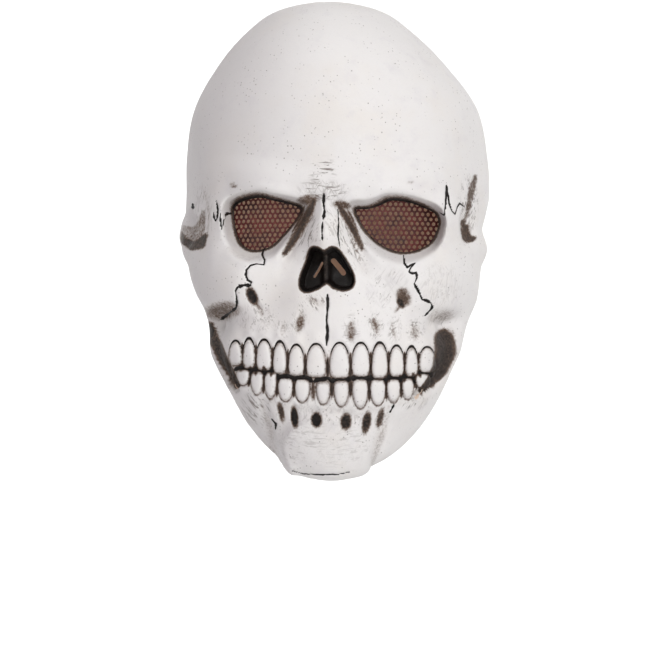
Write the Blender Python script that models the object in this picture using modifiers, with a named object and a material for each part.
"""Over-the-head skull mask: one latex casting, with a net screen glued behind each eye opening.

The face looks along -Y, +X is on the right as seen from in front, and +Z is up. The origin is
where the crown of the wearer's head meets the inside of the mask.
"""

import math
from collections import namedtuple

import bmesh
import bpy
import numpy as np
from mathutils import Matrix, Vector

MM = 0.001

# Driving sizes, in millimetres
WALL = 2.0
SOCKET_DEPTH = 9.0
SOCKET_SLOPE = 6.0
SCREEN_THICKNESS = 0.8
SCREEN_GAP = 1.8
SCREEN_MARGIN = 2.2
NET_PITCH = 6.2
NET_HOLE = 3.9
NOSE_FLOOR_Y = -93.0
TOOTH_DEPTH = 4.0
TOOTH_PROUD = -0.4
TOOTH_BEVEL = 1.3
MOUTH_CORNER_DEPTH = 6.0
# How far a cutter reaches in front of the face, past the nose, behind the eyes and past both ears
IN_FRONT_Y = -140.0
BEHIND_NOSE_Y = -80.0
BEHIND_EYES_Y = -40.0
BESIDE_EARS_X = 120.0
# The mesh of the casting: columns round it, the share of them that are evenly spaced, and the
# angle past which an edge is sharp
COLUMNS = 46
EVEN_SHARE = 0.42
SHARP_ANGLE = math.radians(50)

# The casting is lofted through these sections, from the crown down to the rim. Each has a height
# and a radius in front, at the sides and behind, a squareness in plan, a sideways shift of the
# hand-made form, and the number of mesh rows down to the next section.
Section = namedtuple(
    "Section",
    "name front_z front_r side_z side_r back_z back_r squareness shift rows",
)
BACK_SQUARENESS = 2.1
SECTIONS = [
    Section("crown", 2, 0, 2, 0, 2, 0, 2.0, -6, 2),
    Section("top", -3, 35, -4, 30.5, -4, 38, 2.0, -6, 2),
    Section("upper_dome", -15, 60, -17, 49, -18, 63, 2.0, -5.5, 2),
    Section("dome", -34, 80, -36, 66.5, -38, 84, 2.05, -4, 2),
    Section("forehead", -60, 92, -61, 82.5, -66, 99, 2.1, -2, 2),
    Section("temple", -88, 96, -90, 88, -95, 104, 2.2, -1.5, 3),
    Section("brow", -110, 97, -112, 88.5, -118, 102, 2.35, -1, 4),
    Section("eye", -130, 96, -122, 87.6, -136, 95, 2.5, -1.5, 4),
    Section("cheek", -152, 97, -130, 86, -151, 87, 2.7, -2, 3),
    Section("maxilla", -176, 100, -137, 85, -161, 80, 2.85, -0.5, 3),
    Section("upper_teeth", -198, 104, -142, 81.5, -168, 75, 2.95, 2, 2),
    Section("bite", -216, 105.5, -146, 80, -173, 71, 2.9, 3, 2),
    Section("lower_teeth", -232, 104, -148, 77.5, -176, 69, 2.75, 3, 2),
    Section("chin", -248, 100, -149, 74, -178, 67.5, 2.35, 3.5, 2),
    Section("chin_turn", -264, 96, -150, 70, -179, 66.5, 2.0, 4, 1),
    Section("rim_turn", -270, 87, -151, 68, -180, 65.5, 1.8, 4, 1),
    Section("rim", -269, 76, -151.5, 66, -180.5, 64.5, 1.7, 4, 0),
]

# Outlines in front view: x and z of the points that a smooth closed curve runs through
LEFT_EYE = [
    (-11.5, -122.5), (-19, -119), (-27.5, -117), (-36.5, -115), (-47, -116.5), (-53.5, -121),
    (-52.5, -134), (-48, -143), (-40.5, -146.5), (-31, -145), (-24.5, -140), (-16, -130.5),
]
RIGHT_EYE = [
    (16.5, -123), (24.5, -121.5), (30.5, -119.5), (36.5, -117), (45.5, -117.5), (54.5, -120.5),
    (61.5, -124.5), (63, -132), (57.5, -143), (44.5, -148), (31.5, -144), (21.5, -134.5),
]
NOSE = [
    (-6, -145.5), (-2, -145), (2, -147), (6, -145), (9.5, -146.5), (13.5, -152.5), (17.5, -160.5),
    (17, -166), (12.5, -168), (7, -166.5), (3, -164), (-2, -167), (-8, -169), (-11.5, -166.5),
    (-11.5, -160.5), (-8.5, -152.5),
]
# The ear notch in side view: y and z
EAR_NOTCH = [
    (-30, -212), (-21, -190), (-17, -170), (-14, -148), (-12, -130), (-4, -116), (12, -109),
    (28, -113), (38, -126), (43, -146), (45, -170), (46, -215), (10, -240),
]
# Breathing slits in the floor of the nose: the ends of the centreline, and the width
Slit = namedtuple("Slit", "x1 z1 x2 z2 width")
SLITS = [Slit(5.8, -151.8, 11.0, -158.4, 3.2), Slit(0.0, -152.4, -5.0, -160.4, 2.2)]

# Raised and hollowed forms. A front form lies beside the middle of the face, at z, and is made on
# both sides. A side form lies at y and z. Lean turns it, raise is negative for a hollow, flat is the share of the
# form that stands level, and only is -1 for a form that the left side alone has.
Form = namedtuple("Form", "name across z wide tall lean raise_mm flat only", defaults=[0, 0])
FACE_MIDDLE = 2.5
FRONT_FORMS = [
    Form("glabella", 0, -110, 15, 10, 0, 2.5),
    Form("brow", 37, -107, 30, 10, 8, 3.5),
    Form("nasal_bridge", 0, -134, 10, 17, 0, 6.5),
    Form("nasal_tip", 0, -143, 14, 13, 0, 5.0),
    Form("beside_bridge", 14, -135, 4.5, 17, 32, -2.5),
    Form("orbit_inner", 19, -135, 4, 16, 32, 2.5),
    Form("orbit_side", 65, -128, 7, 20, 4, 3.0),
    Form("cheekbone", 53, -160, 24, 15, 6, 6.0),
    Form("nose_base", 0, -172, 26, 16, 0, 3.0),
    Form("canine_hollow", 33, -172, 13, 17, -12, -2.5),
    Form("under_cheekbone", 59, -186, 15, 8, 0, -5.5),
    Form("muzzle", 0, -212, 52, 38, 0, 6.0),
    Form("under_lip", 0, -240, 30, 8, 0, -2.0),
    Form("chin_block", 0, -257, 20, 15.5, 0, 4.5, 0.62),
    Form("chin_side", 38, -250, 8, 14, 20, -2.0),
]
SIDE_FORMS = [
    Form("temporal_hollow", -50, -132, 10, 10, 0, -6.5),
    Form("temporal_plane", -42, -100, 24, 24, 0, -2.5),
    Form("cheek_arch", -24, -143, 28, 9, 0, 3.0),
    Form("left_arch_end", -14, -133, 15, 9, 0, 4.0, 0, -1),
    Form("under_arch", -56, -186, 22, 12, 8, -3.0),
    Form("left_chin_corner", -100, -268, 30, 7, 0, 5.5, 0, -1),
]
# The dark hollow behind each end of the teeth: points along it, with its half-width there
Bead = namedtuple("Bead", "x z radius")
MOUTH_CORNERS = [
    [Bead(64, -189, 8), Bead(67, -199, 8), Bead(65, -210, 6), Bead(58, -220, 4), Bead(51, -226, 2.5)],
    [Bead(-60, -184, 7), Bead(-62, -196, 7), Bead(-60, -206, 6), Bead(-54, -216, 4), Bead(-48, -222, 2.5)],
]

# One row for each tooth: its middle, half its width, and where it starts and ends
Tooth = namedtuple("Tooth", "x half_width top bottom")
UPPER_TEETH = [
    Tooth(-50.7, 3.7, -196.5, -209.5), Tooth(-42.9, 3.6, -195.5, -211.0), Tooth(-34.2, 4.2, -196.0, -212.0),
    Tooth(-25.1, 4.0, -197.0, -213.7), Tooth(-15.9, 4.4, -199.0, -214.7), Tooth(-4.8, 5.4, -198.0, -215.6),
    Tooth(7.7, 5.5, -197.5, -216.0), Tooth(19.4, 5.0, -197.5, -215.2), Tooth(29.5, 4.5, -197.5, -216.0),
    Tooth(38.5, 4.1, -199.5, -215.3), Tooth(46.5, 3.6, -200.0, -215.3), Tooth(54.9, 4.3, -200.0, -213.4),
]
LOWER_TEETH = [
    Tooth(-46.8, 3.5, -212.0, -220.5), Tooth(-38.6, 3.6, -213.0, -225.0), Tooth(-30.8, 3.4, -214.5, -227.5),
    Tooth(-22.3, 4.2, -216.5, -229.0), Tooth(-12.9, 4.3, -217.5, -229.5), Tooth(-1.2, 4.0, -218.5, -230.3),
    Tooth(8.7, 4.1, -219.0, -231.3), Tooth(19.0, 4.3, -218.5, -232.5), Tooth(28.5, 4.3, -218.5, -231.0),
    Tooth(36.8, 3.8, -218.0, -229.5), Tooth(44.2, 3.4, -217.5, -228.0), Tooth(52.4, 4.0, -215.5, -222.5),
]


def column(name):
    """One column of the section table, as an array."""
    return np.array([getattr(section, name) for section in SECTIONS], float)


def smooth_rows(values, level, mirrored=False):
    """A column read at any level, through its rows, with the surface level at the crown."""
    before = -values[1] if mirrored else values[1]
    after = 2 * values[-1] - values[-2]
    rows = np.concatenate([[before], values, [after]])
    low = np.clip(np.floor(level).astype(int), 0, len(values) - 2)
    t = level - low
    a, b, c, d = (rows[low + k] for k in range(4))
    return 0.5 * (
        2 * b + (c - a) * t + (2 * a - 5 * b + 4 * c - d) * t**2 + (3 * b - a - 3 * c + d) * t**3
    )


def base_point(bearing, level):
    """The loft without its relief, in millimetres. Bearing 0 is the front, a quarter turn is +X."""
    sine, cosine = np.sin(bearing), np.cos(bearing)
    front = np.maximum(cosine, 0)
    back = np.maximum(-cosine, 0)
    side_r = smooth_rows(column("side_r"), level, mirrored=True)
    front_r = smooth_rows(column("front_r"), level, mirrored=True)
    back_r = smooth_rows(column("back_r"), level, mirrored=True)
    power = smooth_rows(column("squareness"), level)
    power = np.where(cosine >= 0, power, BACK_SQUARENESS)
    long_r = np.where(cosine >= 0, front_r, back_r)
    size = (np.abs(sine) ** power * np.maximum(long_r, 1e-6) ** power
            + np.abs(cosine) ** power * np.maximum(side_r, 1e-6) ** power)
    radius = side_r * long_r / np.maximum(size, 1e-12) ** (1 / power)
    side_z = smooth_rows(column("side_z"), level)
    z = (side_z + (smooth_rows(column("front_z"), level) - side_z) * front
         + (smooth_rows(column("back_z"), level) - side_z) * back)
    x = radius * sine + smooth_rows(column("shift"), level)
    return np.stack([x, -radius * cosine, z], -1)


def base_normal(bearing, level):
    """Unit normals of the loft, pointing outwards."""
    step = 1e-3
    level = np.clip(level, 4 * step, len(SECTIONS) - 1 - 4 * step)
    along = base_point(bearing + step, level) - base_point(bearing - step, level)
    down = base_point(bearing, level + step) - base_point(bearing, level - step)
    normal = np.cross(down, along)
    return normal / np.linalg.norm(normal, axis=-1, keepdims=True)


def smooth_step(value, low, high):
    t = np.clip((value - low) / (high - low), 0, 1)
    return t * t * (3 - 2 * t)


def smooth_outline(points, per_span=3):
    """A closed curve through the points, as more points."""
    points = np.array(points, float)
    found = []
    for i in range(len(points)):
        a, b, c, d = (points[(i + k - 1) % len(points)] for k in range(4))
        for t in np.arange(per_span) / per_span:
            found.append(0.5 * (2 * b + (c - a) * t + (2 * a - 5 * b + 4 * c - d) * t**2
                                + (3 * b - a - 3 * c + d) * t**3))
    return np.array(found)


def outline_distance(x, z, outline):
    """Distance from a closed outline, negative inside it."""
    distance = np.full(x.shape, 1e9)
    inside = np.zeros(x.shape, bool)
    for (x1, z1), (x2, z2) in zip(outline, np.roll(outline, -1, axis=0)):
        along = np.clip(((x - x1) * (x2 - x1) + (z - z1) * (z2 - z1))
                        / ((x2 - x1) ** 2 + (z2 - z1) ** 2), 0, 1)
        distance = np.minimum(distance, np.hypot(x - x1 - along * (x2 - x1), z - z1 - along * (z2 - z1)))
        crosses = (z1 > z) != (z2 > z)
        inside ^= crosses & (x < x1 + (x2 - x1) * (z - z1) / np.where(crosses, z2 - z1, 1))
    return np.where(inside, -distance, distance)


def form_height(form, across, z):
    """One raised or hollowed form: a smooth bump that ends at its own ellipse."""
    angle = math.radians(form.lean)
    u = (across - form.across) * math.cos(angle) + (z - form.z) * math.sin(angle)
    v = -(across - form.across) * math.sin(angle) + (z - form.z) * math.cos(angle)
    q = (u / (1.5 * form.wide)) ** 2 + (v / (1.5 * form.tall)) ** 2
    fall = np.clip((q - form.flat) / (1 - form.flat), 0, 1)
    return form.raise_mm * (1 - fall) ** 2


def bead_line_height(beads, depth, x, z):
    """A hollow along a line of beads, each with its own half-width."""
    share = np.zeros(x.shape)
    for a, b in zip(beads, beads[1:]):
        length2 = (b.x - a.x) ** 2 + (b.z - a.z) ** 2
        t = np.clip(((x - a.x) * (b.x - a.x) + (z - a.z) * (b.z - a.z)) / length2, 0, 1)
        away = np.hypot(x - a.x - t * (b.x - a.x), z - a.z - t * (b.z - a.z))
        share = np.maximum(share, 1 - smooth_step(away, 0, 1.5 * (a.radius + t * (b.radius - a.radius))))
    return -depth * share


def socket_height(x, z, outline):
    """The recess round an eye opening: steep under the brow, and long over the cheek."""
    middle = outline.mean(0)
    away = outline_distance(x, z, outline)
    upward = (z - middle[1]) / np.maximum(np.hypot(x - middle[0], z - middle[1]), 1e-6)
    return -SOCKET_DEPTH * (1 - smooth_step(away, 0, SOCKET_SLOPE - 1.5 * upward))


def relief(point, normal):
    """How far the finished face stands out from the loft at each point, in millimetres."""
    x, y, z = point[..., 0], point[..., 1], point[..., 2]
    facing = smooth_step(-normal[..., 1], 0.05, 0.35)
    beside = smooth_step(np.abs(normal[..., 0]), 0.3, 0.6)
    front = np.zeros(x.shape)
    for form in FRONT_FORMS:
        front += form_height(form, np.abs(x - FACE_MIDDLE), z)
    for beads in MOUTH_CORNERS:
        front += bead_line_height(beads, MOUTH_CORNER_DEPTH, x, z)
    for eye in (LEFT_EYE, RIGHT_EYE):
        front += socket_height(x, z, smooth_outline(eye))
    side = np.zeros(x.shape)
    for form in SIDE_FORMS:
        side += form_height(form, y, z) * np.where(form.only * x >= 0, 1, 0)
    return front * facing + side * beside


def mask_point(bearing, level, inset=0.0):
    """A point of the finished outer face, in millimetres, or of the same face moved inwards."""
    start, normal = base_point(bearing, level), base_normal(bearing, level)
    point = start
    for _ in range(3):
        point = start + normal * relief(point, normal)[..., None]
    return point - normal * inset


def face_point(x, z, surface):
    """The points of a surface function at a given x and z of the front view, and their normals.

    Each search starts at cheek level, and every step closes most of the distance that is left.
    """
    face_radius, level_height, closing = 110.0, 22.0, 0.85
    bearing = np.arctan2(x, face_radius)
    level = np.full(np.shape(x), 8.0)
    for _ in range(24):
        here = surface(bearing, level)
        level = np.clip(level + (here[..., 2] - z) / level_height * closing, 0, len(SECTIONS) - 1.001)
        bearing = bearing + (x - here[..., 0]) / face_radius * closing
    return surface(bearing, level), base_normal(bearing, level)


def collection_named(name):
    made = bpy.data.collections.new(name)
    bpy.context.scene.collection.children.link(made)
    return made


def material_named(name, colour, roughness):
    made = bpy.data.materials.new(name)
    made.use_nodes = True
    shader = made.node_tree.nodes["Principled BSDF"]
    shader.inputs["Base Color"].default_value = (*colour, 1)
    shader.inputs["Roughness"].default_value = roughness
    shader.inputs["Metallic"].default_value = 0.0
    return made


def object_from(bm, name, collection):
    mesh = bpy.data.meshes.new(name)
    bm.to_mesh(mesh)
    bm.free()
    made = bpy.data.objects.new(name, mesh)
    collection.objects.link(made)
    return made


def hide_as_helper(helper):
    helper.hide_render = True
    helper.display_type = "WIRE"


def plate(name, outline, low, high, collection, facing="front"):
    """A flat outline given in millimetres, extruded from low to high across the view it faces."""
    curve = bpy.data.curves.new(name, "CURVE")
    curve.dimensions = "2D"
    curve.fill_mode = "BOTH"
    curve.extrude = (high - low) / 2 * MM
    spline = curve.splines.new("POLY")
    spline.points.add(len(outline) - 1)
    for point, (across, z) in zip(spline.points, outline):
        point.co = (across * MM, z * MM, 0, 1)
    spline.use_cyclic_u = True
    drawn = bpy.data.objects.new(name + "_curve", curve)
    collection.objects.link(drawn)
    upright = Matrix.Rotation(math.radians(90), 4, "X")
    if facing == "side":
        upright = Matrix.Rotation(math.radians(90), 4, "Z") @ upright
        drawn.matrix_world = Matrix.Translation(((low + high) / 2 * MM, 0, 0)) @ upright
    else:
        drawn.matrix_world = Matrix.Translation((0, (low + high) / 2 * MM, 0)) @ upright
    bpy.context.view_layer.update()
    graph = bpy.context.evaluated_depsgraph_get()
    mesh = bpy.data.meshes.new_from_object(drawn.evaluated_get(graph))
    mesh.transform(drawn.matrix_world)
    bpy.data.objects.remove(drawn)
    bm = bmesh.new()
    bm.from_mesh(mesh)
    bmesh.ops.remove_doubles(bm, verts=bm.verts, dist=0.01 * MM)
    bmesh.ops.recalc_face_normals(bm, faces=bm.faces)
    bpy.data.meshes.remove(mesh)
    return object_from(bm, name, collection)


def boolean(target, operation, other):
    modifier = target.modifiers.new(operation.lower() + "_" + other.name, "BOOLEAN")
    modifier.operation = operation
    modifier.solver = "EXACT"
    modifier.object = other
    hide_as_helper(other)


def mesh_levels():
    """The level of every mesh row, from the crown to the rim."""
    levels = []
    for i, section in enumerate(SECTIONS[:-1]):
        levels += [i + k / section.rows for k in range(section.rows)]
    return np.array(levels + [len(SECTIONS) - 1.0])


def mesh_bearing(share):
    """Columns close together in front and wide apart behind. Share runs from -1 to 1."""
    return math.pi * (EVEN_SHARE * share + (1 - EVEN_SHARE) * share**3)


def rolled_sheet(inset=0.0, closed_bottom=False):
    """A flat grid rolled into the outer face of the casting, open at the rim or filled there."""
    levels = mesh_levels()
    bm = bmesh.new()
    bmesh.ops.create_grid(bm, x_segments=COLUMNS, y_segments=len(levels) - 1, size=1)
    bm.verts.ensure_lookup_table()
    flat = np.array([vertex.co[:] for vertex in bm.verts])
    row = np.rint((1 - flat[:, 1]) / 2 * (len(levels) - 1)).astype(int)
    points = mask_point(mesh_bearing(flat[:, 0]), levels[row], inset) * MM
    for vertex, point in zip(bm.verts, points):
        vertex.co = point
    bmesh.ops.remove_doubles(bm, verts=bm.verts, dist=0.05 * MM)
    bmesh.ops.dissolve_degenerate(bm, dist=0.01 * MM, edges=bm.edges)
    if closed_bottom:
        rim = [edge for edge in bm.edges if edge.is_boundary]
        bmesh.ops.contextual_create(bm, geom=rim)
    bmesh.ops.recalc_face_normals(bm, faces=bm.faces)
    return bm


def stadium(slit, steps=4):
    """A slot with round ends, in front view."""
    heading = math.atan2(slit.z2 - slit.z1, slit.x2 - slit.x1)
    ends = ((slit.x2, slit.z2, heading - math.pi / 2), (slit.x1, slit.z1, heading + math.pi / 2))
    points = []
    for x, z, start in ends:
        for k in range(steps + 1):
            turn = start + math.pi * k / steps
            points.append((x + slit.width / 2 * math.cos(turn), z + slit.width / 2 * math.sin(turn)))
    return points


def grown_outline(outline, by):
    """The outline moved outwards by a distance."""
    ahead, behind = np.roll(outline, -1, axis=0), np.roll(outline, 1, axis=0)
    along = ahead - behind
    along /= np.linalg.norm(along, axis=1, keepdims=True)
    sideways = np.stack([along[:, 1], -along[:, 0]], -1)
    x1, z1 = outline.T
    x2, z2 = ahead.T
    turns_left = np.sum(x1 * z2 - x2 * z1) > 0
    return outline + sideways * (by if turns_left else -by)


def teeth(collection):
    """Both rows of teeth: bevelled pads that follow the curve of the muzzle."""
    bm = bmesh.new()
    for tooth in UPPER_TEETH + LOWER_TEETH:
        middle_z = (tooth.top + tooth.bottom) / 2
        point, normal = face_point(tooth.x, middle_z, mask_point)
        out = Vector((normal[0], normal[1], 0)).normalized()
        turn = out.to_track_quat("-Y", "Z").to_matrix().to_4x4()
        half_width = tooth.half_width / max(0.5, abs(out.y))
        size = Matrix.Diagonal((2 * half_width * MM, TOOTH_DEPTH * MM, (tooth.top - tooth.bottom) * MM, 1))
        place = Vector(point) * MM + out * TOOTH_PROUD * MM
        pad = bmesh.ops.create_cube(bm, size=1)["verts"]
        bmesh.ops.transform(bm, matrix=Matrix.Translation(place) @ turn @ size, verts=pad)
        rear = [vertex for vertex in pad if (vertex.co - place).dot(out) < 0]
        edges = list({edge for vertex in pad for edge in vertex.link_edges
                      if not (edge.verts[0] in rear and edge.verts[1] in rear)})
        bmesh.ops.bevel(bm, geom=edges, offset=TOOTH_BEVEL * MM, offset_type="OFFSET", segments=1,
                        profile=0.5, affect="EDGES", clamp_overlap=True)
    bmesh.ops.recalc_face_normals(bm, faces=bm.faces)
    return object_from(bm, "teeth", collection)


def skull_shell(parts, cutters):
    """The casting: a hollow shell with the nose pocket, the teeth and every opening."""
    shell = object_from(rolled_sheet(), "skull_shell", parts)
    shell.data.shade_smooth()
    shell.data.set_sharp_from_angle(angle=SHARP_ANGLE)
    solidify = shell.modifiers.new("wall", "SOLIDIFY")
    solidify.thickness = WALL * MM
    solidify.offset = -1
    solidify.use_even_offset = False

    nose = smooth_outline(NOSE, 2)
    head_core = rolled_sheet(inset=WALL / 2, closed_bottom=True)
    pocket_wall = plate("nose_pocket_wall", grown_outline(nose, WALL), IN_FRONT_Y, NOSE_FLOOR_Y + WALL, cutters)
    boolean(pocket_wall, "INTERSECT", object_from(head_core, "filled_head", cutters))
    boolean(shell, "UNION", pocket_wall)
    boolean(shell, "UNION", teeth(cutters))
    boolean(shell, "DIFFERENCE", plate("nose_pocket", nose, IN_FRONT_Y, NOSE_FLOOR_Y, cutters))
    for number, slit in enumerate(SLITS, 1):
        cutter = plate(f"nose_slit_{number}", stadium(slit), IN_FRONT_Y, BEHIND_NOSE_Y, cutters)
        boolean(shell, "DIFFERENCE", cutter)
    for name, eye in (("left_eye_hole", LEFT_EYE), ("right_eye_hole", RIGHT_EYE)):
        cutter = plate(name, smooth_outline(eye, 2), IN_FRONT_Y, BEHIND_EYES_Y, cutters)
        boolean(shell, "DIFFERENCE", cutter)
    notch = smooth_outline(EAR_NOTCH, 2)
    cutter = plate("ear_notches", notch, -BESIDE_EARS_X, BESIDE_EARS_X, cutters, facing="side")
    boolean(shell, "DIFFERENCE", cutter)
    return shell


def screen_surface(bearing, level):
    """The smooth face that an eye screen lies on, behind the floor of the sockets."""
    inwards = SOCKET_DEPTH + WALL + SCREEN_GAP + SCREEN_THICKNESS / 2
    return base_point(bearing, level) - base_normal(bearing, level) * inwards


def eye_screen(name, eye, parts, cutters):
    """A curved net: a sheet larger than its opening, punched with staggered holes."""
    outline = grown_outline(smooth_outline(eye, 2), SCREEN_MARGIN)
    sheet = plate(name, outline, -SCREEN_THICKNESS / 2, SCREEN_THICKNESS / 2, parts)
    low, high = outline.min(0), outline.max(0)
    eye_outline = smooth_outline(eye, 2)
    bm = bmesh.new()
    row_step = NET_PITCH * math.sqrt(3) / 2
    for row in range(int((high[1] - low[1]) / row_step) + 1):
        for step in range(int((high[0] - low[0]) / NET_PITCH) + 2):
            x = low[0] + (step + 0.5 * (row % 2)) * NET_PITCH
            z = low[1] + row * row_step
            if outline_distance(np.array(x), np.array(z), eye_outline) > -NET_HOLE / 2:
                continue
            upright = Matrix.Translation((x * MM, 0, z * MM)) @ Matrix.Rotation(math.radians(90), 4, "X")
            bmesh.ops.create_cone(bm, cap_ends=True, segments=6, radius1=NET_HOLE / 2 * MM,
                                  radius2=NET_HOLE / 2 * MM, depth=4 * SCREEN_THICKNESS * MM, matrix=upright)
    boolean(sheet, "DIFFERENCE", object_from(bm, name + "_punch", cutters))
    bpy.context.view_layer.update()
    graph = bpy.context.evaluated_depsgraph_get()
    punched = bpy.data.meshes.new_from_object(sheet.evaluated_get(graph))
    sheet.modifiers.clear()
    sheet.data = punched
    bm = bmesh.new()
    bm.from_mesh(punched)
    bmesh.ops.triangulate(bm, faces=bm.faces, quad_method="BEAUTY", ngon_method="BEAUTY")
    bm.to_mesh(punched)
    bm.free()
    flat = np.array([vertex.co[:] for vertex in punched.vertices]) / MM
    points, _ = face_point(flat[:, 0], flat[:, 2], screen_surface)
    points[:, 1] += flat[:, 1]
    for vertex, point in zip(punched.vertices, points):
        vertex.co = point * MM
    punched.shade_smooth()
    punched.set_sharp_from_angle(angle=SHARP_ANGLE)
    return sheet


def main():
    for thing in list(bpy.data.objects):
        bpy.data.objects.remove(thing)
    parts = collection_named("skull_mask")
    cutters = collection_named("cutters")
    cutters.hide_render = True
    bone = material_named("bone_latex", (0.86, 0.84, 0.82), 0.55)
    net = material_named("dark_net", (0.10, 0.035, 0.03), 0.6)
    shell = skull_shell(parts, cutters)
    shell.data.materials.append(bone)
    for name, eye in (("left_eye_screen", LEFT_EYE), ("right_eye_screen", RIGHT_EYE)):
        eye_screen(name, eye, parts, cutters).data.materials.append(net)


main()
